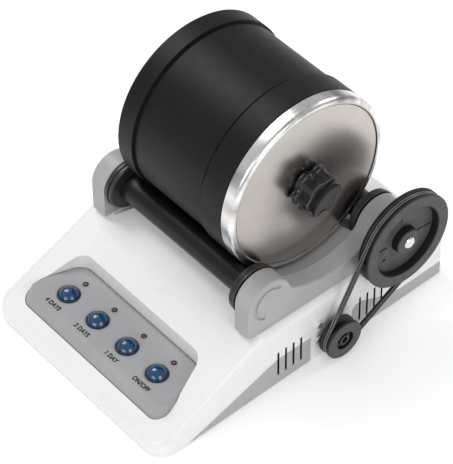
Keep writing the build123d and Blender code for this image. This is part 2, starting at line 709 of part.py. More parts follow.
def motor_shaft():
    """Output shaft of the gearbox, which ends inside the pulley's bore."""
    start = GEARBOX_FRONT_X - 21.5
    shaft = rod_x(MOTOR_SHAFT_RADIUS, start, PULLEY_FRONT_X - 3.2, MOTOR_SHAFT_Y, MOTOR_SHAFT_Z)
    return chamfer(shaft.edges().filter_by(GeomType.CIRCLE), 0.4)


def belt_outline(large_radius, small_radius):
    """Area inside a belt path round both pulleys, in Y and Z."""
    span_y = REAR_ROLLER_Y - MOTOR_SHAFT_Y
    span_z = ROLLER_Z - MOTOR_SHAFT_Z
    heading = degrees(atan2(span_z, span_y))
    reach = hypot(span_y, span_z)
    swing = 90 + degrees(asin((large_radius - small_radius) / reach))

    def around(y, z, radius, angle):
        return (y + radius * cos(radians(angle)), z + radius * sin(radians(angle)))

    large = [around(REAR_ROLLER_Y, ROLLER_Z, large_radius, heading + a) for a in (swing, 0, -swing)]
    opposite = (swing, 180, -swing)
    small = [around(MOTOR_SHAFT_Y, MOTOR_SHAFT_Z, small_radius, heading + a) for a in opposite]
    wire = ThreePointArc(*large) + Line(large[2], small[2])
    return make_face(wire + ThreePointArc(small[2], small[1], small[0]) + Line(small[0], large[0]))


def drive_belt():
    """Endless belt lying in both grooves."""
    outer = belt_outline(LARGE_BELT_RADIUS + BELT_THICKNESS, SMALL_BELT_RADIUS + BELT_THICKNESS)
    inner = belt_outline(LARGE_BELT_RADIUS, SMALL_BELT_RADIUS)
    start = GROOVE_MIDDLE_X - BELT_WIDTH / 2
    return Pos(start, 0, 0) * extrude(Plane.YZ * (outer - inner), BELT_WIDTH, dir=(1, 0, 0))


# ---- barrel ----
FAR_TYRE_END_X = -47.9
NEAR_TYRE_START_X = 30.0
LID_REAR_X = 54.1
JACKET_MOUTH_X = 61.0
CAVITY_START_X = -58.5
CAVITY_APOTHEM = 60.0
CAVITY_SIDES = 10
SEAT_RADIUS = 64.0
SEAT_X = 52.8
STUD_RADIUS = 4.0
SHEET = 1.0


def barrel_body():
    """Thick rubber barrel with two tyre bands and a ten-sided inside."""
    under_lid = LID_RADIUS - SHEET - 0.3
    groove = JACKET_RADIUS - 0.9
    profile = [
        (BARREL_FAR_X, 0),
        (BARREL_FAR_X, 60),
        (BARREL_FAR_X + 1.2, 62),
        (BARREL_FAR_X + 1.2, 69),
        (BARREL_FAR_X, 71),
        (BARREL_FAR_X, TYRE_RADIUS - 2.4),
        (BARREL_FAR_X + 2.4, TYRE_RADIUS),
        (FAR_TYRE_END_X - 0.5, TYRE_RADIUS),
        (FAR_TYRE_END_X, groove),
        (FAR_TYRE_END_X + 1.2, groove),
        (FAR_TYRE_END_X + 2.0, JACKET_RADIUS),
        (NEAR_TYRE_START_X - 2.0, JACKET_RADIUS),
        (NEAR_TYRE_START_X - 1.2, groove),
        (NEAR_TYRE_START_X, groove),
        (NEAR_TYRE_START_X + 0.5, TYRE_RADIUS),
        (LID_REAR_X - 1.0, TYRE_RADIUS),
        (LID_REAR_X - 0.4, TYRE_RADIUS - 0.6),
        (LID_REAR_X - 0.4, under_lid),
        (JACKET_MOUTH_X, under_lid),
        (JACKET_MOUTH_X, 0),
    ]
    body = turned_x(profile, BARREL_AXIS_Y, BARREL_AXIS_Z)
    decagon = RegularPolygon(CAVITY_APOTHEM, CAVITY_SIDES, major_radius=False)
    cavity = extrude(decagon, SEAT_X - CAVITY_START_X + 1)
    body -= Pos(CAVITY_START_X, BARREL_AXIS_Y, BARREL_AXIS_Z) * Rot(0, 90, 0) * cavity
    return body - rod_x(SEAT_RADIUS, SEAT_X, JACKET_MOUTH_X + 1, BARREL_AXIS_Y, BARREL_AXIS_Z)


def inner_lid():
    """Steel disc on the seat inside the barrel's mouth."""
    disc = rod_x(SEAT_RADIUS - 0.3, SEAT_X, SEAT_X + 1.5, BARREL_AXIS_Y, BARREL_AXIS_Z)
    return disc - rod_x(STUD_RADIUS, SEAT_X - 1, SEAT_X + 3, BARREL_AXIS_Y, BARREL_AXIS_Z)


def lid_stud():
    """Stud riveted in the inner lid; its shoulder and head clamp the disc."""
    stud = rod_x(STUD_RADIUS, SEAT_X, 78, BARREL_AXIS_Y, BARREL_AXIS_Z)
    stud += rod_x(7, SEAT_X + 1.5, SEAT_X + 4, BARREL_AXIS_Y, BARREL_AXIS_Z)
    return stud + rod_x(6, SEAT_X - 1.5, SEAT_X, BARREL_AXIS_Y, BARREL_AXIS_Z)


def lid_seal():
    """Rubber ring squeezed between the inner lid, the barrel's mouth and the outer lid."""
    ring = rod_x(SEAT_RADIUS - 0.2, SEAT_X + 1.5, LID_RIM_X - 2.1, BARREL_AXIS_Y, BARREL_AXIS_Z)
    return ring - rod_x(SEAT_RADIUS - 5, SEAT_X, LID_RIM_X, BARREL_AXIS_Y, BARREL_AXIS_Z)


def outer_lid():
    """Spun steel cap over the barrel's mouth."""
    face_x = LID_RIM_X - 0.7
    profile = [
        (LID_REAR_X, LID_RADIUS - SHEET),
        (LID_REAR_X, LID_RADIUS),
        (LID_RIM_X, LID_RADIUS),
        (LID_RIM_X, 69.5),
        (face_x, 68.5),
        (face_x, STUD_RADIUS + 0.4),
        (face_x - SHEET, STUD_RADIUS + 0.4),
        (face_x - SHEET, 68.9),
        (LID_RIM_X - SHEET, 69.9),
        (LID_RIM_X - SHEET, LID_RADIUS - SHEET),
    ]
    face = make_face(Polyline(*profile, close=True))
    face = fillet([face.vertices().sort_by_distance((LID_RIM_X, LID_RADIUS, 0))[0]], 3.4)
    inside = (LID_RIM_X - SHEET, LID_RADIUS - SHEET, 0)
    face = fillet([face.vertices().sort_by_distance(inside)[0]], 2.4)
    return Pos(0, BARREL_AXIS_Y, BARREL_AXIS_Z) * revolve(face, Axis.X)


# ---- knob ----
WASHER_X = LID_RIM_X - 0.65
KNOB_BASE_X = WASHER_X + 1.6
KNOB_TOP_X = KNOB_BASE_X + 16.8
KNOB_LOBES = 6
SKIRT_RADIUS = 20.0
GRIP_RADIUS = 18.8
SCOOP_RADIUS = 9.5
SCOOP_DEPTH = 3.4
INSERT_RADIUS = 6.5


def knob_washer():
    """Flat washer between the lid and the knob."""
    ring = rod_x(11, WASHER_X, WASHER_X + 1.5, BARREL_AXIS_Y, BARREL_AXIS_Z)
    return ring - rod_x(STUD_RADIUS + 0.3, WASHER_X - 1, WASHER_X + 2, BARREL_AXIS_Y, BARREL_AXIS_Z)


def lobed_outline(radius):
    """Circle with one broad scoop between each pair of lobes."""
    outline = Circle(radius)
    reach = radius + SCOOP_RADIUS - SCOOP_DEPTH
    for index in range(KNOB_LOBES):
        outline -= Rot(0, 0, 360 / KNOB_LOBES * index) * Pos(reach, 0) * Circle(SCOOP_RADIUS)
    corners = [v for v in outline.vertices() if hypot(v.X, v.Y) > radius - 0.5]
    return fillet(corners, 2.4)


def lid_knob():
    """Six-lobed star knob: a wide skirt, a narrower grip and a dished face."""
    skirt = extrude(lobed_outline(SKIRT_RADIUS), 5.2)
    grip = Pos(0, 0, 5.0) * extrude(lobed_outline(GRIP_RADIUS), KNOB_TOP_X - KNOB_BASE_X - 5.0)
    knob = skirt + grip
    dish_radius = 48.0
    knob -= Pos(0, 0, KNOB_TOP_X - KNOB_BASE_X + dish_radius - 2.4) * Sphere(dish_radius)
    knob -= Pos(0, 0, 6.4) * Cylinder(INSERT_RADIUS, 13.0)
    return Pos(KNOB_BASE_X, BARREL_AXIS_Y, BARREL_AXIS_Z) * Rot(0, 90, 0) * knob


def knob_insert():
    """Threaded brass insert moulded in the knob."""
    ring = rod_x(INSERT_RADIUS, KNOB_BASE_X, KNOB_BASE_X + 12.8, BARREL_AXIS_Y, BARREL_AXIS_Z)
    bore = STUD_RADIUS + RUNNING_CLEARANCE
    return ring - rod_x(bore, KNOB_BASE_X - 1, KNOB_BASE_X + 14, BARREL_AXIS_Y, BARREL_AXIS_Z)


# ---- all parts ----
def make_parts():
    """Every part of the tumbler by node name."""
    form = outer_form()
    cavity = base_form(WALL)
    parts = {
        "top_shell": top_shell(form, cavity),
        "bottom_tray": bottom_tray(form, cavity),
        "tray_screws": tray_screws(),
        "rubber_feet": rubber_feet(),
        "control_panel": control_panel(),
        "control_board": control_board(),
        "timer_chips": timer_chips(),
        "tact_switches": tact_switches(),
        "status_leds": status_leds(),
        "board_screws": board_screws(),
        "power_inlet": power_inlet(),
        "inlet_nut": inlet_nut(),
        "gearbox": gearbox(),
        "motor": motor(),
        "motor_screws": motor_screws(),
        "right_bracket": bracket(form, BRACKET_OUTER_X + 1),
        "left_bracket": mirrored_x(bracket(form, BLIND_END_X)),
        "bracket_screws": bracket_screws(),
        "bush_front_right": bush(FRONT_ROLLER_Y, BLIND_END_X - 0.1),
        "bush_rear_right": bush(REAR_ROLLER_Y, BRACKET_OUTER_X),
        "bush_front_left": mirrored_x(bush(FRONT_ROLLER_Y, BLIND_END_X - 0.1)),
        "bush_rear_left": mirrored_x(bush(REAR_ROLLER_Y, BLIND_END_X - 0.1)),
        "drive_belt": drive_belt(),
        "motor_shaft": motor_shaft(),
        "motor_pulley": small_pulley(),
        "large_pulley": large_pulley(),
        "pulley_set_screw": pulley_set_screw(),
        "barrel_body": barrel_body(),
        "inner_lid": inner_lid(),
        "lid_stud": lid_stud(),
        "lid_seal": lid_seal(),
        "outer_lid": outer_lid(),
        "knob_washer": knob_washer(),
        "lid_knob": lid_knob(),
        "knob_insert": knob_insert(),
    }
    rollers = {"front": (FRONT_ROLLER_Y, SHAFT_END_X), "rear": (REAR_ROLLER_Y, REAR_SHAFT_TIP_X)}
    for name, (y, tip_x) in rollers.items():
        parts[f"{name}_roller_shaft"] = roller_shaft(y, tip_x)
        parts[f"{name}_roller_sleeve"] = roller_sleeve(y)
        parts[f"{name}_flange_right"] = roller_flange(y)
        parts[f"{name}_flange_left"] = mirrored_x(roller_flange(y))
    names = ("button_4_days", "button_2_days", "button_1_day", "button_on_off")
    for name, x in zip(names, button_places()):
        parts[name] = push_button(x)
    return parts


os.makedirs("parts", exist_ok=True)
for node, shape in make_parts().items():
    export_step(Pos(-ORIGIN_X, 0, 0) * shape, f"parts/{node}.step")
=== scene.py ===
import math

import bmesh
import bpy
from mathutils import Matrix, Vector


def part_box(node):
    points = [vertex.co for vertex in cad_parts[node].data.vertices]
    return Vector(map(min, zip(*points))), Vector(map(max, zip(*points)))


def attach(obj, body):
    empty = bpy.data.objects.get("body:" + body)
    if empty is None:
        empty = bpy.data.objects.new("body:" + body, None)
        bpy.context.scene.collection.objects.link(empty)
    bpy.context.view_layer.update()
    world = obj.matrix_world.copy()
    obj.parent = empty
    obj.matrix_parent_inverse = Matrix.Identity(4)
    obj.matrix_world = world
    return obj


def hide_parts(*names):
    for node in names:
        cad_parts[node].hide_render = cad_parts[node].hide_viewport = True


# Rotary rock tumbler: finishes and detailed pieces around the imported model. Metres. X runs along
# the rollers (+X is the belt side), Y from the control panel to the rear, Z is up.

MM = 0.001

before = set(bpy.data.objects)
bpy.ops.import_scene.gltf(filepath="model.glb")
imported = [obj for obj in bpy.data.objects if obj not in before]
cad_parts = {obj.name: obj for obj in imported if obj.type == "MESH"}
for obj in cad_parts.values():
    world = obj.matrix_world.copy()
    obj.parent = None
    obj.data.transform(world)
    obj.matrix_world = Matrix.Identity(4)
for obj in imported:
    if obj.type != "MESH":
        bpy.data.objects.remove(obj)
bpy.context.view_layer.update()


# ---- places, all read from the frame ----
def middle(node):
    """Middle of a CAD node's box."""
    low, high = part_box(node)
    return (low + high) / 2


BARREL = middle("barrel_body")
SHELL_X = middle("top_shell").x
PANEL_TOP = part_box("control_panel")[1].z
LEGENDS = {
    "button_4_days": "4 DAYS",
    "button_2_days": "2 DAYS",
    "button_1_day": "1 DAY",
    "button_on_off": "ON/OFF",
}


# ---- finishes ----
EDGE_FACING = (0.80, 0.99)  # how far a rounded normal agrees with the flat one: sharp edge, flat area
WORN_AND_LIT_EDGE = 0.8 * MM      # width of the paler line along a sharp edge, partly from rubbing and partly painted highlight
MOULD_SHADE = 45 * MM       # size of slow shade changes in moulded plastic
MOULD_GLOSS = 14 * MM       # size of its slow gloss changes
TURN_LENGTH = 4 * MM        # length that one radian counts as, in patterns that run round an axis
# Painted shade on the vent walls: where it goes, and its near-black colour.
VENT_FLANK_X = 90 * MM      # the vents lie further out than this from the shell's middle,
VENT_REACH_Y = 100 * MM     # within this distance in front of and behind the origin,
VENT_TOP_Z = 34.5 * MM      # and below this height
VENT_PAINTED_SHADE = (0.012, 0.012, 0.013)
LATHE_LINE = 0.12 * MM      # spacing of fine lathe lines
LATHE_BAND = 2.5 * MM       # spacing of broader, fainter bands among them
LID_FACE = 70.5 * MM        # radius where the lid's face ends and its rim begins
RIM_FADE = 0.5 * MM         # half the width over which the one goes over into the other
RIM_REFLECTION_STRIPE = 1.3 * MM       # spacing of the painted reflection stripes across the rim
TRACKS = 180.0              # circuit tracks in a metre


class Finish:
    """A Principled material, with the patterns that vary its colour, roughness and bump."""

    def __init__(self, name, **constants):
        self.material = bpy.data.materials.new(name)
        self.material.use_nodes = True
        self.tree = self.material.node_tree
        self.shader = self.tree.nodes["Principled BSDF"]
        self.place = self.add("ShaderNodeTexCoord").outputs["Object"]
        for socket, value in constants.items():
            self.shader.inputs[socket.replace("_", " ")].default_value = value

    def add(self, kind, inputs=None, **settings):
        """One node with its settings and inputs; an input is a value or another node's output."""
        node = self.tree.nodes.new(kind)
        for key, value in settings.items():
            setattr(node, key, value)
        for socket, value in (inputs or {}).items():
            if isinstance(value, bpy.types.NodeSocket):
                self.tree.links.new(value, node.inputs[socket])
            else:
                node.inputs[socket].default_value = value
        return node

    def math(self, operation, first, second=0.0):
        """Result of one arithmetic step."""
        return self.add("ShaderNodeMath", {0: first, 1: second}, operation=operation).outputs[0]

    def noise(self, size, detail=3.0, stretch=(1, 1, 1), place=None):
        """Noise with features of this size in metres, made longer along an axis by stretch."""
        scale = [1 / (size * share) for share in stretch]
        mapping = self.add("ShaderNodeMapping", {"Vector": place or self.place, "Scale": scale})
        inputs = {"Vector": mapping.outputs[0], "Scale": 1.0, "Detail": detail}
        return self.add("ShaderNodeTexNoise", inputs).outputs[0]

    def specks(self, spacing, share):
        """Small round spots, one for each cell of this spacing, that fill this share of it."""
        mapping = self.add("ShaderNodeMapping", {"Vector": self.place, "Scale": [1 / spacing] * 3})
        cells = self.add("ShaderNodeTexVoronoi", {"Vector": mapping.outputs[0], "Scale": 1.0})
        return self.math("LESS_THAN", cells.outputs["Distance"], share)

    def spread(self, value, low, high, source=(0.3, 0.7)):
        """A pattern's value carried from the source range to low and high."""
        inputs = {"Value": value, 1: source[0], 2: source[1], 3: low, 4: high}
        return self.add("ShaderNodeMapRange", inputs).outputs[0]

    def blend(self, share, first, second):
        """One colour going over into another."""
        node = self.add("ShaderNodeMix", data_type="RGBA")
        for socket, value in (("A", first), ("B", second)):
            target = [s for s in node.inputs if s.name == socket and s.type == "RGBA"][0]
            if isinstance(value, bpy.types.NodeSocket):
                self.tree.links.new(value, target)
            else:
                target.default_value = (*value, 1.0)
        if isinstance(share, bpy.types.NodeSocket):
            self.tree.links.new(share, node.inputs[0])
        else:
            node.inputs[0].default_value = share
        return [s for s in node.outputs if s.type == "RGBA"][0]

    def worn_and_lit_edges(self, radius):
        """About 1 on sharp edges and 0 on flat areas."""
        rounded = self.add("ShaderNodeBevel", {"Radius": radius}, samples=4).outputs[0]
        flat = self.add("ShaderNodeNewGeometry").outputs["Normal"]
        inputs = {0: rounded, 1: flat}
        facing = self.add("ShaderNodeVectorMath", inputs, operation="DOT_PRODUCT").outputs["Value"]
        return self.spread(facing, 1.0, 0.0, EDGE_FACING)

    def around_x(self, centre):
        """Place as (along, radius, turn) about an X axis through the centre."""
        offset = self.add("ShaderNodeVectorMath", {0: self.place, 1: centre}, operation="SUBTRACT")
        parts = self.add("ShaderNodeSeparateXYZ", {0: offset.outputs[0]}).outputs
        squares = self.math("ADD", self.math("POWER", parts[1], 2.0), self.math("POWER", parts[2], 2.0))
        turn = self.math("MULTIPLY", self.math("ARCTAN2", parts[2], parts[1]), TURN_LENGTH)
        polar = {0: parts[0], 1: self.math("SQRT", squares), 2: turn}
        return self.add("ShaderNodeCombineXYZ", polar).outputs[0]

    def colour(self, value):
        """Sets the pattern that gives the colour."""
        self.tree.links.new(value, self.shader.inputs["Base Color"])

    def roughness(self, value):
        """Sets the pattern that gives the roughness."""
        self.tree.links.new(value, self.shader.inputs["Roughness"])

    def relief(self, height, depth, edge=0.0):
        """Bump of this depth in metres; edge is the radius to which sharp edges look rounded."""
        inputs = {"Height": height, "Distance": depth, "Strength": 1.0}
        if edge:
            inputs["Normal"] = self.add("ShaderNodeBevel", {"Radius": edge}, samples=6).outputs[0]
        bump = self.add("ShaderNodeBump", inputs).outputs[0]
        self.tree.links.new(bump, self.shader.inputs["Normal"])


def painted_vent_shade_mask(finish):
    """Mask for painted shade: 1 on the walls of the vents and of the seam round the motor, which face
    along Y, else 0.
    """
    normal = finish.add("ShaderNodeNewGeometry").outputs["True Normal"]
    facing = finish.math("ABSOLUTE", finish.add("ShaderNodeSeparateXYZ", {0: normal}).outputs[1])
    place = finish.add("ShaderNodeSeparateXYZ", {0: finish.place}).outputs
    off_middle = finish.math("ABSOLUTE", finish.math("SUBTRACT", place[0], SHELL_X))
    share = finish.math("GREATER_THAN", facing, 0.9)
    for operation, value, limit in (
        ("GREATER_THAN", off_middle, VENT_FLANK_X),
        ("LESS_THAN", finish.math("ABSOLUTE", place[1]), VENT_REACH_Y),
        ("LESS_THAN", place[2], VENT_TOP_Z),
    ):
        share = finish.math("MULTIPLY", share, finish.math(operation, value, limit))
    return share


def moulded_plastic(
    name, dark, light, roughness, grain, depth, edge=0.0, wear=None, slots=False, **constants
):
    """Moulded plastic: spark-eroded grain, slow shade changes, paler edges that are partly rubbed and
    partly painted highlight, and painted shade on the vent walls.
    """
    finish = Finish(name, **constants)
    shade = finish.blend(finish.spread(finish.noise(MOULD_SHADE), 0, 1), dark, light)
    # Paler lines along sharp edges: partly rubbed, partly painted highlight.
    if wear:
        rubbed = finish.spread(finish.noise(3 * MM), 0.5, 1.0)
        edges = finish.math("MULTIPLY", finish.worn_and_lit_edges(WORN_AND_LIT_EDGE), rubbed)
        shade = finish.blend(edges, shade, wear)
    # Painted shade: the vent walls are coloured near black.
    if slots:
        shade = finish.blend(painted_vent_shade_mask(finish), shade, VENT_PAINTED_SHADE)
    finish.colour(shade)
    finish.roughness(finish.spread(finish.noise(MOULD_GLOSS), roughness - 0.04, roughness + 0.05))
    finish.relief(finish.noise(grain, detail=4.0), depth, edge)
    return finish.material


def pulley_plastic(name, face, wall):
    """Cast plastic whose flat faces are rubbed grey, with painted shade on the walls and grooves: the less
    a surface faces along X, the darker its colour.
    """
    finish = Finish(name, Specular_IOR_Level=0.28)
    normal = finish.add("ShaderNodeNewGeometry").outputs["Normal"]
    along = finish.math("ABSOLUTE", finish.add("ShaderNodeSeparateXYZ", {0: normal}).outputs[0])
    share = finish.spread(along, 0, 1, (0.45, 0.85))
    paler = [value * 1.35 for value in face]
    rubbed = finish.blend(finish.spread(finish.noise(7 * MM, 4.0), 0, 1), face, paler)
    # Painted shade: surfaces that face across X take the dark wall colour instead of the grey face colour.
    finish.colour(finish.blend(share, wall, rubbed))
    finish.roughness(finish.spread(finish.noise(3 * MM), 0.42, 0.56))
    finish.relief(finish.noise(0.3 * MM, 4.0), 0.03 * MM, 0.3 * MM)
    return finish.material


def rubber(name, dark, light, roughness, grain=0.5 * MM, **constants):
    """Rubber: fine pitted skin with faint dusty scuffs."""
    finish = Finish(name, **constants)
    shade = finish.blend(finish.spread(finish.noise(30 * MM), 0, 1), dark, light)
    scuffs = finish.spread(finish.noise(4 * MM, 5.0, (3, 1, 1)), 0, 0.35, (0.56, 0.8))
    finish.colour(finish.blend(scuffs, shade, [2.5 * value for value in light]))
    finish.roughness(finish.spread(finish.noise(9 * MM), roughness - 0.02, roughness + 0.03))
    finish.relief(finish.noise(grain, 5.0), 0.03 * MM, 0.6 * MM)
    return finish.material


def turned_metal(name, colour, roughness, centre, rim=None, **constants):
    """Metal with lathe lines that run round an X axis, and outside the rim radius a painted reflection:
    pale and dark stripes across the rim.
    """
    finish = Finish(name, Metallic=1.0, **constants)
    polar = finish.around_x(centre)
    lines = finish.noise(LATHE_LINE, 4.0, (1, 1, 12), polar)
    bands = finish.noise(LATHE_BAND, 3.0, (1, 1, 6), polar)
    stains = finish.spread(finish.noise(22 * MM), 0, 0.5)
    darker = [value * 0.86 for value in colour]
    shade = finish.blend(stains, colour, darker)
    # Painted reflection: outside the rim radius the colour turns to pale and dark stripes across the rim.
    if rim:
        radius = finish.add("ShaderNodeSeparateXYZ", {0: polar}).outputs[1]
        outside = finish.spread(radius, 0, 1, (rim - RIM_FADE, rim + RIM_FADE))
        reflection_stripes = finish.spread(finish.noise(RIM_REFLECTION_STRIPE, 3.0, (80, 80, 1), polar), 0, 1, (0.44, 0.68))
        pale = [min(colour[0] * 1.5, 0.9)] * 3
        grey = [value * 0.45 for value in colour]
        shade = finish.blend(outside, shade, finish.blend(reflection_stripes, pale, grey))
    finish.colour(shade)
    mixed = finish.math("ADD", finish.spread(lines, -0.02, 0.02), finish.spread(bands, -0.008, 0.008))
    finish.roughness(finish.math("ADD", mixed, roughness))
    finish.relief(lines, 0.001 * MM, 0.25 * MM)
    return finish.material


def rolled_metal(name, colour, roughness, grain=0.4 * MM, depth=0.01 * MM):
    """Plated or cast metal with a fine grain."""
    finish = Finish(name, Metallic=1.0)
    darker = [value * 0.8 for value in colour]
    finish.colour(finish.blend(finish.spread(finish.noise(6 * MM), 0, 1), colour, darker))
    finish.roughness(finish.spread(finish.noise(2 * MM), roughness - 0.06, roughness + 0.08))
    finish.relief(finish.noise(grain, 4.0), depth, 0.2 * MM)
    return finish.material


def clear_plastic(name, colour, roughness):
    """See-through moulded plastic with faint ripples in its surface."""
    finish = Finish(name, Transmission_Weight=0.8, IOR=1.49, Coat_Weight=0.5, Coat_Roughness=0.03)
    pale = [value * 1.3 for value in colour]
    finish.colour(finish.blend(finish.spread(finish.noise(5 * MM), 0, 1), colour, pale))
    finish.roughness(finish.spread(finish.noise(1 * MM), roughness, roughness + 0.04))
    finish.relief(finish.noise(2.5 * MM, 1.0), 0.03 * MM)
    return finish.material


def board_finish(name):
    """Green solder mask over faint copper tracks, with tinned pads."""
    finish = Finish(name, Coat_Weight=0.4)
    inputs = {"Vector": finish.place, "Scale": TRACKS, "Mortar Size": 0.018, "Brick Width": 0.9}
    tracks = finish.add("ShaderNodeTexBrick", inputs).outputs["Fac"]
    mask = finish.blend(tracks, (0.005, 0.06, 0.022), (0.02, 0.12, 0.05))
    finish.colour(finish.blend(finish.specks(5 * MM, 0.16), mask, (0.5, 0.5, 0.48)))
    finish.roughness(finish.spread(finish.noise(8 * MM), 0.25, 0.4))
    finish.relief(tracks, 0.03 * MM)
    return finish.material


def printed_ink(name):
    """Pad-printed black legend, slightly broken."""
    finish = Finish(name)
    finish.colour(finish.blend(finish.spread(finish.noise(0.6 * MM), 0, 1), (0.003,) * 3, (0.008,) * 3))
    finish.roughness(finish.spread(finish.noise(1 * MM), 0.5, 0.65))
    finish.relief(finish.noise(0.2 * MM), 0.004 * MM)
    return finish.material


def studio_floor(name):
    """Pale seamless paper."""
    finish = Finish(name, Emission_Color=(1.0, 1.0, 1.0, 1.0), Emission_Strength=0.16)
    finish.colour(finish.blend(finish.noise(60 * MM), (0.92, 0.92, 0.92), (0.95, 0.95, 0.95)))
    finish.roughness(finish.spread(finish.noise(5 * MM), 0.75, 0.85))
    finish.relief(finish.noise(0.8 * MM, 4.0), 0.01 * MM)
    return finish.material


FINISHES = {
    "white_shell": moulded_plastic(
        "white_shell_finish", (0.775, 0.775, 0.785), (0.79, 0.79, 0.80), 0.28, 0.6 * MM, 0.0015 * MM,
        slots=True,
    ),
    "grey_tray": moulded_plastic(
        "grey_tray_finish", (0.36, 0.36, 0.37), (0.40, 0.40, 0.41), 0.46, 0.35 * MM, 0.02 * MM,
        0.6 * MM, slots=True,
    ),
    "grey_panel": moulded_plastic(
        "grey_panel_finish", (0.31, 0.31, 0.32), (0.35, 0.35, 0.36), 0.40, 0.35 * MM, 0.02 * MM, 2.6 * MM
    ),
    "grey_bracket": moulded_plastic(
        "grey_bracket_finish", (0.34, 0.34, 0.35), (0.39, 0.39, 0.39), 0.44, 0.35 * MM, 0.02 * MM, 0.8 * MM
    ),
    "black_plastic": moulded_plastic(
        "black_plastic_finish", (0.012,) * 3, (0.02,) * 3, 0.4, 0.3 * MM, 0.02 * MM, 0.3 * MM
    ),
    "pulley_plastic": pulley_plastic("pulley_painted_shade_finish", (0.052, 0.052, 0.056), (0.008, 0.008, 0.009)),
    "flange_plastic": moulded_plastic(
        "flange_finish", (0.012,) * 3, (0.02,) * 3, 0.36, 0.4 * MM, 0.02 * MM, 0.4 * MM, (0.10,) * 3
    ),
    # The knob's pale edge colour paints highlights along its ridges.
    "knob_plastic": moulded_plastic(
        "knob_finish", (0.005, 0.005, 0.007), (0.009, 0.009, 0.011), 0.20, 0.5 * MM, 0.003 * MM,
        wear=(0.30, 0.30, 0.32), Coat_Weight=0.25, Coat_Roughness=0.05, Specular_IOR_Level=0.35,
    ),
    "bush_plastic": moulded_plastic(
        "bush_finish", (0.62, 0.61, 0.57), (0.7, 0.69, 0.65), 0.35, 0.5 * MM, 0.008 * MM, 0.2 * MM
    ),
    "barrel_rubber": rubber(
        "barrel_rubber_finish", (0.005, 0.005, 0.006), (0.007, 0.007, 0.008), 0.46, Specular_IOR_Level=0.19
    ),
    "roller_rubber": rubber(
        "roller_rubber_finish", (0.005,) * 3, (0.008,) * 3, 0.38, Specular_IOR_Level=0.3
    ),
    "belt_rubber": rubber("belt_rubber_finish", (0.006,) * 3, (0.010,) * 3, 0.26, 0.3 * MM),
    "seal_rubber": rubber("seal_rubber_finish", (0.03,) * 3, (0.04,) * 3, 0.6),
    "foot_rubber": rubber("foot_rubber_finish", (0.02,) * 3, (0.03,) * 3, 0.7),
    "lid_steel": turned_metal(
        "lid_steel_finish", (0.57, 0.53, 0.50), 0.25, BARREL, rim=LID_FACE, Anisotropic=0.3
    ),
    "steel_shaft": turned_metal("shaft_steel_finish", (0.75, 0.74, 0.72), 0.2, middle("large_pulley")),
    "steel_screw": rolled_metal("screw_steel_finish", (0.88, 0.86, 0.82), 0.38, 0.15 * MM),
    "brass_insert": rolled_metal("brass_finish", (0.78, 0.58, 0.25), 0.3),
    "motor_can": rolled_metal("motor_can_finish", (0.62, 0.62, 0.60), 0.32, 1.5 * MM),
    "gear_case": rolled_metal("gear_case_finish", (0.5, 0.5, 0.5), 0.5, 0.25 * MM, 0.04 * MM),
    "circuit_board": board_finish("circuit_board_finish"),
    "blue_button": clear_plastic("blue_button_finish", (0.02, 0.19, 0.42), 0.03),
    "red_lens": clear_plastic("red_lens_finish", (0.62, 0.36, 0.35), 0.08),
}
INK = printed_ink("legend_ink_finish")
# Painted highlight for the belt's ridge crowns: a rubber far paler than the belt.
BELT_PAINTED_HIGHLIGHT = rubber("belt_painted_highlight_finish", (0.12, 0.12, 0.125), (0.15, 0.15, 0.155), 0.3, 0.3 * MM)
LAMP_COLLAR = moulded_plastic(
    "lamp_collar_finish", (0.045, 0.003, 0.004), (0.07, 0.005, 0.006), 0.4, 0.2 * MM, 0.005 * MM
)
BUTTON_RING = moulded_plastic(
    "button_ring_finish", (0.004, 0.018, 0.040), (0.006, 0.026, 0.056), 0.22, 0.3 * MM, 0.004 * MM
)
BUTTON_CORE = moulded_plastic(
    "button_core_finish", (0.006, 0.050, 0.13), (0.010, 0.075, 0.18), 0.2, 0.3 * MM, 0.01 * MM
)

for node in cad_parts.values():
    for holder in node.material_slots:
        holder.material = FINISHES[holder.material.name.split(".")[0]]


# ---- mesh helpers ----
def finished(name, bm, body, finish):
    """Turns a bmesh into a smooth piece that rides on a body."""
    bmesh.ops.recalc_face_normals(bm, faces=bm.faces)
    mesh = bpy.data.meshes.new(name)
    bm.to_mesh(mesh)
    bm.free()
    mesh.shade_smooth()
    piece = bpy.data.objects.new(name, mesh)
    bpy.context.scene.collection.objects.link(piece)
    mesh.materials.append(finish)
    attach(piece, body)
    return piece


def ring_strip(bm, rings, closed):
    """Joins rings of vertices, one after another, into faces."""
    pairs = list(zip(rings, rings[1:]))
    if closed:
        pairs.append((rings[-1], rings[0]))
    for first, second in pairs:
        count = max(len(first), len(second))
        for index in range(count):
            following = (index + 1) % count
            corners = [first[index % len(first)], first[following % len(first)]]
            corners += [second[following % len(second)], second[index % len(second)]]
            bm.faces.new(dict.fromkeys(corners))


def turned(bm, centre, profile, segments):
    """Adds a form turned about Z: profile holds (height, radius); a radius of 0 is a point."""
    rings = []
    for height, radius in profile:
        ring = []
        for index in range(segments if radius else 1):
            angle = 2 * math.pi * index / segments
            point = Vector((radius * math.cos(angle), radius * math.sin(angle), height))
            ring.append(bm.verts.new(centre + point))
        rings.append(ring)
    ring_strip(bm, rings, False)


# ---- star knob ----
KNOB_LOBES = 6
SCOOP_RADIUS = 9.5 * MM
SCOOP_DEPTH = 3.4 * MM
LOBE_SOFTNESS = 1.3 * MM
GRIP_STEP = 1.3 * MM        # the grip stands this far inside the skirt
KNOB_SEGMENTS = 144
knob_low, knob_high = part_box("lid_knob")
KNOB_TIP = (knob_high.z - knob_low.z) / 2
KNOB_HEIGHT = knob_high.x - knob_low.x


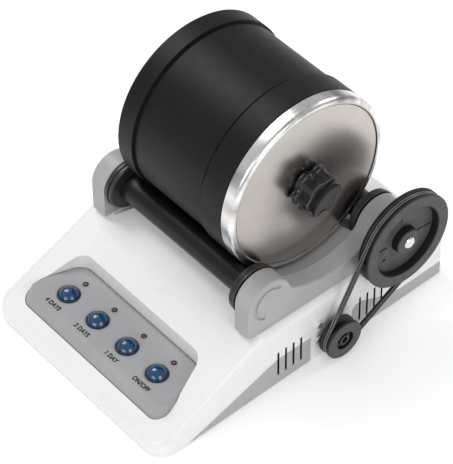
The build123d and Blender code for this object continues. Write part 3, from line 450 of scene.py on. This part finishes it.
def knob_outline(angle, tip, depth):
    """Radius of the lobed outline at an angle: broad scoops between narrow rounded lobes."""
    pitch = 2 * math.pi / KNOB_LOBES
    off = (angle + pitch / 2) % pitch - pitch / 2
    distance = tip + SCOOP_RADIUS - depth
    reach = SCOOP_RADIUS**2 - (distance * math.sin(off)) ** 2
    scoop = distance * math.cos(off) - math.sqrt(reach) if reach > 0 else tip + SCOOP_RADIUS
    gap = max(LOBE_SOFTNESS - abs(scoop - tip), 0) / LOBE_SOFTNESS
    return min(scoop, tip) - gap * gap * LOBE_SOFTNESS / 4


def star_knob():
    """Six-lobed knob: a wide skirt, a step, a fluted grip with a rolled edge, and a dished face."""
    top, tip = KNOB_HEIGHT, KNOB_TIP
    grip = tip - GRIP_STEP
    rings = [   # height, radius, and how far the scoops have reached their full depth
        (0.0, tip - 0.8 * MM, 1.0), (0.7 * MM, tip, 1.0), (4.6 * MM, tip, 1.0),
        (5.0 * MM, tip - 0.4 * MM, 1.0), (5.15 * MM, grip - 0.1 * MM, 1.0), (6.0 * MM, grip, 1.0),
        (top - 5.0 * MM, grip, 0.95), (top - 1.2 * MM, grip - 0.1 * MM, 0.75),
        (top - 0.4 * MM, grip - 0.3 * MM, 0.65), (top - 0.08 * MM, grip - 0.65 * MM, 0.6),
        (top, grip - 1.0 * MM, 0.55), (top - 0.15 * MM, grip - 1.35 * MM, 0.5),
        (top - 0.5 * MM, 0.88 * grip, 0.36), (top - 1.2 * MM, 0.72 * grip, 0.14),
        (top - 1.9 * MM, 0.5 * grip, 0.0), (top - 2.4 * MM, 0.25 * grip, 0.0),
    ]
    bm = bmesh.new()
    turn = Matrix.Rotation(math.radians(90), 3, "Y")
    base = Vector((knob_low.x, BARREL.y, BARREL.z))
    loops = []
    for along, radius, share in rings:
        loop = []
        for index in range(KNOB_SEGMENTS):
            angle = 2 * math.pi * index / KNOB_SEGMENTS
            reach = knob_outline(angle, radius, share * SCOOP_DEPTH) if share else radius
            point = Vector((reach * math.cos(angle), reach * math.sin(angle), along))
            loop.append(bm.verts.new(base + turn @ point))
        loops.append(loop)
    loops.append([bm.verts.new(base + Vector((top - 2.55 * MM, 0, 0)))])
    loops.insert(0, [bm.verts.new(base)])
    ring_strip(bm, loops, False)
    piece = finished("star_knob", bm, "knob", FINISHES["knob_plastic"])
    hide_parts("lid_knob")


# ---- drive belt ----
BELT_DEPTH = 3.7 * MM
BELT_STEP = 1.6 * MM        # distance between two cross sections
BELT_FOOT = 0.72            # width of the belt's inner side, as a share of its back
RIDGE_STEPS = 6             # straight lines in one ridge's outline
CROWN_DROP = 0.2            # a ridge's crown reaches down this share of half the belt's width; its faces carry the painted highlight


def belt_path(step):
    """Points (y, z, outward direction) along the middle of the belt, at even steps."""
    belt_low, belt_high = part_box("drive_belt")
    large, small = middle("large_pulley"), middle("motor_pulley")
    large_radius = belt_high.z - large.z
    small_radius = small.z - belt_low.z
    reach = math.hypot(large.y - small.y, large.z - small.z)
    heading = math.atan2(large.z - small.z, large.y - small.y)
    swing = math.pi / 2 + math.asin((large_radius - small_radius) / reach)
    straight = math.sqrt(reach**2 - (large_radius - small_radius) ** 2)
    path = []

    def arc(centre, radius, start, sweep):
        """Adds the part that lies on a pulley."""
        count = max(int(radius * sweep / step), 8)
        for index in range(count):
            angle = start + sweep * index / count
            out = (math.cos(angle), math.sin(angle))
            path.append((centre.y + radius * out[0], centre.z + radius * out[1], out))

    def run(centre, radius, angle, length):
        """Adds a straight part, which leaves a pulley at this angle."""
        out = (math.cos(angle), math.sin(angle))
        along = (-out[1], out[0])
        count = int(length / step)
        for index in range(count):
            way = length * index / count
            y = centre.y + radius * out[0] + along[0] * way
            path.append((y, centre.z + radius * out[1] + along[1] * way, out))

    arc(large, large_radius, heading - swing, 2 * swing)
    run(large, large_radius, heading + swing, straight)
    arc(small, small_radius, heading + swing, 2 * (math.pi - swing))
    run(small, small_radius, heading - swing, straight)
    return path


def belt():
    """Wedge belt whose back has two rounded ridges, each with a painted highlight along its crown."""
    low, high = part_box("drive_belt")
    middle_x, half = (low.x + high.x) / 2, (high.x - low.x) / 2
    section = [(BELT_FOOT * half, -BELT_DEPTH), (-BELT_FOOT * half, -BELT_DEPTH)]
    for ridge, first in ((-half / 2, 0), (half / 2, 1)):
        for step in range(first, RIDGE_STEPS + 1):
            angle = math.pi * (1 - step / RIDGE_STEPS)
            section.append((ridge + half / 2 * math.cos(angle), half / 2 * (math.sin(angle) - 1)))
    bm = bmesh.new()
    rings = []
    for y, z, out in belt_path(BELT_STEP):
        ring = [bm.verts.new((middle_x + x, y + out[0] * d, z + out[1] * d)) for x, d in section]
        rings.append(ring)
    ring_strip(bm, rings, True)
    piece = finished("ridged_belt", bm, "root", FINISHES["belt_rubber"])
    # Painted highlight: the crown faces of both ridges take the much paler colour.
    piece.data.materials.append(BELT_PAINTED_HIGHLIGHT)
    crowns = {index for index, point in enumerate(section) if point[1] > -CROWN_DROP * half}
    for face in piece.data.polygons:
        spots = {index % len(section) for index in face.vertices}
        face.material_index = int(spots <= crowns and max(spots) - min(spots) == 1)
    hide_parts("drive_belt")


# ---- buttons, indicators and legends ----
RIM_LEDGE = 1.5 * MM        # a button's hidden rim stands this far out under the panel
BUTTON_FOOT = -4.5 * MM     # this and the next two: heights above the panel's top
BUTTON_CROWN = 1.8 * MM
CORE_FLOOR = BUTTON_CROWN - 0.9 * MM
RING_SHARE = 0.9            # inner radius of the dark ring, as a share of its outer one
DOME_GAP = 0.05 * MM        # between the dome's wall or foot and its seat
BUTTON_SEGMENTS = 96
DOME_RINGS = 14
CORE_SEGMENTS = 72
CORE_RIBS = 4
CORE_TURN = math.radians(20)    # the first rib points this far round from X
LAMP_RADIUS = 2.2 * MM
LAMP_FOOT = -3.0 * MM           # height above the panel's top
LENS_SHARE = 0.54               # the lens's radius, as a share of its collar's
COLLAR_SEGMENTS = 48
LENS_SEGMENTS = 40
LEGEND_SIZE = 5.6 * MM
LEGEND_WIDTH = 0.86             # the letters are narrowed to this share
LEGEND_LIFT = 0.03 * MM         # the ink's middle lies this far above the panel
LEGEND_OFFSET = 15.5 * MM       # from a button's middle to its legend, towards the front


def dome(radius, rise, foot, steps):
    """Profile of a dome from its rim to its tip."""
    sphere = (radius**2 + rise**2) / (2 * rise)
    across = [radius * math.cos(math.pi / 2 * step / steps) for step in range(steps)] + [0.0]
    return [(foot + math.sqrt(sphere**2 - reach**2) - (sphere - rise), reach) for reach in across]


def button_base(centre, radius, inner):
    """Dark ring round the dome, with the rim that holds the button under the panel."""
    crown = BUTTON_CROWN
    profile = [
        (BUTTON_FOOT, 0.0), (BUTTON_FOOT, radius + RIM_LEDGE), (-2.8 * MM, radius + RIM_LEDGE),
        (-2.7 * MM, radius), (crown - 0.7 * MM, radius), (crown - 0.25 * MM, radius - 0.15 * MM),
        (crown, radius - 0.5 * MM), (crown, inner + 0.35 * MM), (crown - 0.3 * MM, inner + 0.1 * MM),
        (crown - 0.9 * MM, inner), (crown - 1.0 * MM, 0.0),
    ]
    bm = bmesh.new()
    turned(bm, centre, profile, BUTTON_SEGMENTS)
    return bm


def button_core(centre, inner):
    """Moulded disc under the dome: a raised ring, a cup and four ribs."""
    floor = CORE_FLOOR
    profile = [
        (floor, 0.0), (floor, 0.86 * inner), (floor + 0.9 * MM, 0.84 * inner),
        (floor + 1.0 * MM, 0.74 * inner), (floor + 0.35 * MM, 0.70 * inner),
        (floor + 0.3 * MM, 0.34 * inner), (floor + 1.3 * MM, 0.28 * inner),
        (floor + 1.4 * MM, 0.12 * inner), (floor + 1.0 * MM, 0.0),
    ]
    bm = bmesh.new()
    turned(bm, centre, profile, CORE_SEGMENTS)
    for index in range(CORE_RIBS):
        spin = Matrix.Rotation(2 * math.pi / CORE_RIBS * index + CORE_TURN, 4, "Z")
        shape = Matrix.Diagonal((0.52 * inner, 0.9 * MM, 0.8 * MM, 1))
        place = Matrix.Translation(centre + Vector((0, 0, floor + 0.65 * MM)))
        shift = Matrix.Translation((0.5 * inner, 0, 0))
        rib = bmesh.ops.create_cube(bm, size=1.0, matrix=place @ spin @ shift @ shape)
        edges = list({edge for vert in rib["verts"] for edge in vert.link_edges})
        bmesh.ops.bevel(bm, geom=edges, offset=0.2 * MM, segments=2, affect="EDGES")
    return bm


def clear_button(node):
    """Clear blue dome in a dark ring, over a moulded core."""
    low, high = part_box(node)
    centre = Vector(((low.x + high.x) / 2, (low.y + high.y) / 2, PANEL_TOP))
    radius = (high.x - low.x) / 2 - RIM_LEDGE
    inner = RING_SHARE * radius
    body = "press_" + node[len("button_"):]
    base = finished("ring_" + node, button_base(centre, radius, inner), body, BUTTON_RING)
    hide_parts(node)
    finished("core_" + node, button_core(centre, inner), body, BUTTON_CORE)
    floor, wall = CORE_FLOOR - DOME_GAP, inner - DOME_GAP
    rise = high.z - PANEL_TOP - BUTTON_CROWN
    bm = bmesh.new()
    profile = [(floor, 0.0), (floor, wall), *dome(wall, rise, BUTTON_CROWN, DOME_RINGS)]
    turned(bm, centre, profile, BUTTON_SEGMENTS)
    finished("dome_" + node, bm, body, FINISHES["blue_button"])


def indicators():
    """Round lamps behind the buttons: a pale lens in a dark red collar."""
    lamps = middle("status_leds")
    collars, lenses = bmesh.new(), bmesh.new()
    collar = [
        (LAMP_FOOT, 0.55 * LAMP_RADIUS), (LAMP_FOOT, LAMP_RADIUS), (0.35 * MM, LAMP_RADIUS),
        (0.6 * MM, 0.9 * LAMP_RADIUS), (0.6 * MM, 0.72 * LAMP_RADIUS), (0.3 * MM, 0.58 * LAMP_RADIUS),
        (LAMP_FOOT, 0.55 * LAMP_RADIUS),
    ]
    radius = LENS_SHARE * LAMP_RADIUS
    lens = [(LAMP_FOOT, 0.0), (LAMP_FOOT, radius), *dome(radius, 0.6 * MM, 0.2 * MM, 8)]
    for name in LEGENDS:
        centre = Vector((middle(name).x, lamps.y, PANEL_TOP))
        turned(collars, centre, collar, COLLAR_SEGMENTS)
        turned(lenses, centre, lens, LENS_SEGMENTS)
    bmesh.ops.remove_doubles(collars, verts=collars.verts, dist=0.001 * MM)
    piece = finished("lamp_collars", collars, "root", LAMP_COLLAR)
    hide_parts("status_leds")
    finished("lamp_lenses", lenses, "root", FINISHES["red_lens"])


def legend(text, x, y):
    """Printed words, lying on the panel."""
    curve = bpy.data.curves.new("legend", "FONT")
    curve.body = text
    curve.size = LEGEND_SIZE
    curve.align_x = "CENTER"
    curve.align_y = "CENTER"
    curve.extrude = 0.02 * MM
    curve.offset = 0.30 * MM
    curve.space_character = 1.05
    holder = bpy.data.objects.new("legend_holder", curve)
    bpy.context.scene.collection.objects.link(holder)
    bpy.context.view_layer.update()
    mesh = bpy.data.meshes.new_from_object(holder.evaluated_get(bpy.context.evaluated_depsgraph_get()))
    bpy.data.objects.remove(holder)
    place = Matrix.Translation((x, y, PANEL_TOP + LEGEND_LIFT))
    mesh.transform(place @ Matrix.Diagonal((LEGEND_WIDTH, 1, 1, 1)))
    name = "legend_" + "".join(letter for letter in text.lower() if letter.isalnum())
    mesh.name = name
    piece = bpy.data.objects.new(name, mesh)
    bpy.context.scene.collection.objects.link(piece)
    mesh.materials.clear()
    mesh.materials.append(INK)
    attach(piece, "root")


star_knob()
belt()
for name, text in LEGENDS.items():
    clear_button(name)
    button = middle(name)
    legend(text, button.x, button.y - LEGEND_OFFSET)
indicators()


# ---- floor, light and camera ----
FLOOR_REACH = 3.0
SURROUNDING = 0.5               # strength of the even light from all round
LIGHT_AIM = (0, 0, 0.08)
LIGHTS = {                      # place, size and power of each
    "key_light": ((-0.80, -0.05, 1.15), (0.6, 0.7), 7.5),
    "front_light": ((0.25, -1.25, 0.75), (0.8, 0.5), 5),
    "side_light": ((1.15, -0.15, 0.75), (0.6, 0.7), 4.8),
    "rear_light": ((0.1, 1.1, 0.9), (1.0, 0.4), 4),
}


def area_light(name, place, size, power):
    """Soft rectangular light aimed at the barrel's foot."""
    light = bpy.data.lights.new(name, "AREA")
    light.shape = "RECTANGLE"
    light.size, light.size_y = size
    light.energy = power
    holder = bpy.data.objects.new(name, light)
    holder.location = place
    holder.rotation_euler = (Vector(LIGHT_AIM) - Vector(place)).to_track_quat("-Z", "Y").to_euler()
    bpy.context.scene.collection.objects.link(holder)


def studio():
    """Pale floor, soft light and an even bright surrounding."""
    bm = bmesh.new()
    bmesh.ops.create_grid(bm, x_segments=4, y_segments=4, size=FLOOR_REACH)
    mesh = bpy.data.meshes.new("floor")
    bm.to_mesh(mesh)
    bm.free()
    floor = bpy.data.objects.new("floor", mesh)
    mesh.materials.append(studio_floor("floor_finish"))
    bpy.context.scene.collection.objects.link(floor)
    world = bpy.data.worlds.new("studio")
    bpy.context.scene.world = world
    world.use_nodes = True
    world.node_tree.nodes["Background"].inputs["Color"].default_value = (1.0, 1.0, 1.0, 1.0)
    world.node_tree.nodes["Background"].inputs["Strength"].default_value = SURROUNDING
    for name, (place, size, power) in LIGHTS.items():
        area_light(name, place, size, power)


CAMERA_TARGET = Vector((-0.05, -0.5, 73.96)) * MM
CAMERA_DISTANCE = 1862.6 * MM
CAMERA_AZIMUTH = math.radians(49.43)
CAMERA_ELEVATION = math.radians(45.38)
CAMERA_LENS = 189.45            # this and the next one in mm
CAMERA_SENSOR = 36.0


def camera():
    """Camera above the front corner on the belt side."""
    data = bpy.data.cameras.new("camera")
    data.lens = CAMERA_LENS
    data.sensor_width = CAMERA_SENSOR
    data.clip_start = 0.05
    data.clip_end = 20.0
    level = math.cos(CAMERA_ELEVATION)
    back = Vector(
        (math.sin(CAMERA_AZIMUTH) * level, -math.cos(CAMERA_AZIMUTH) * level, math.sin(CAMERA_ELEVATION))
    )
    holder = bpy.data.objects.new("camera", data)
    holder.location = CAMERA_TARGET + CAMERA_DISTANCE * back
    holder.rotation_euler = (-back).to_track_quat("-Z", "Y").to_euler()
    bpy.context.scene.collection.objects.link(holder)
    bpy.context.scene.camera = holder


studio()
camera()
bpy.context.scene.view_settings.view_transform = "Standard"
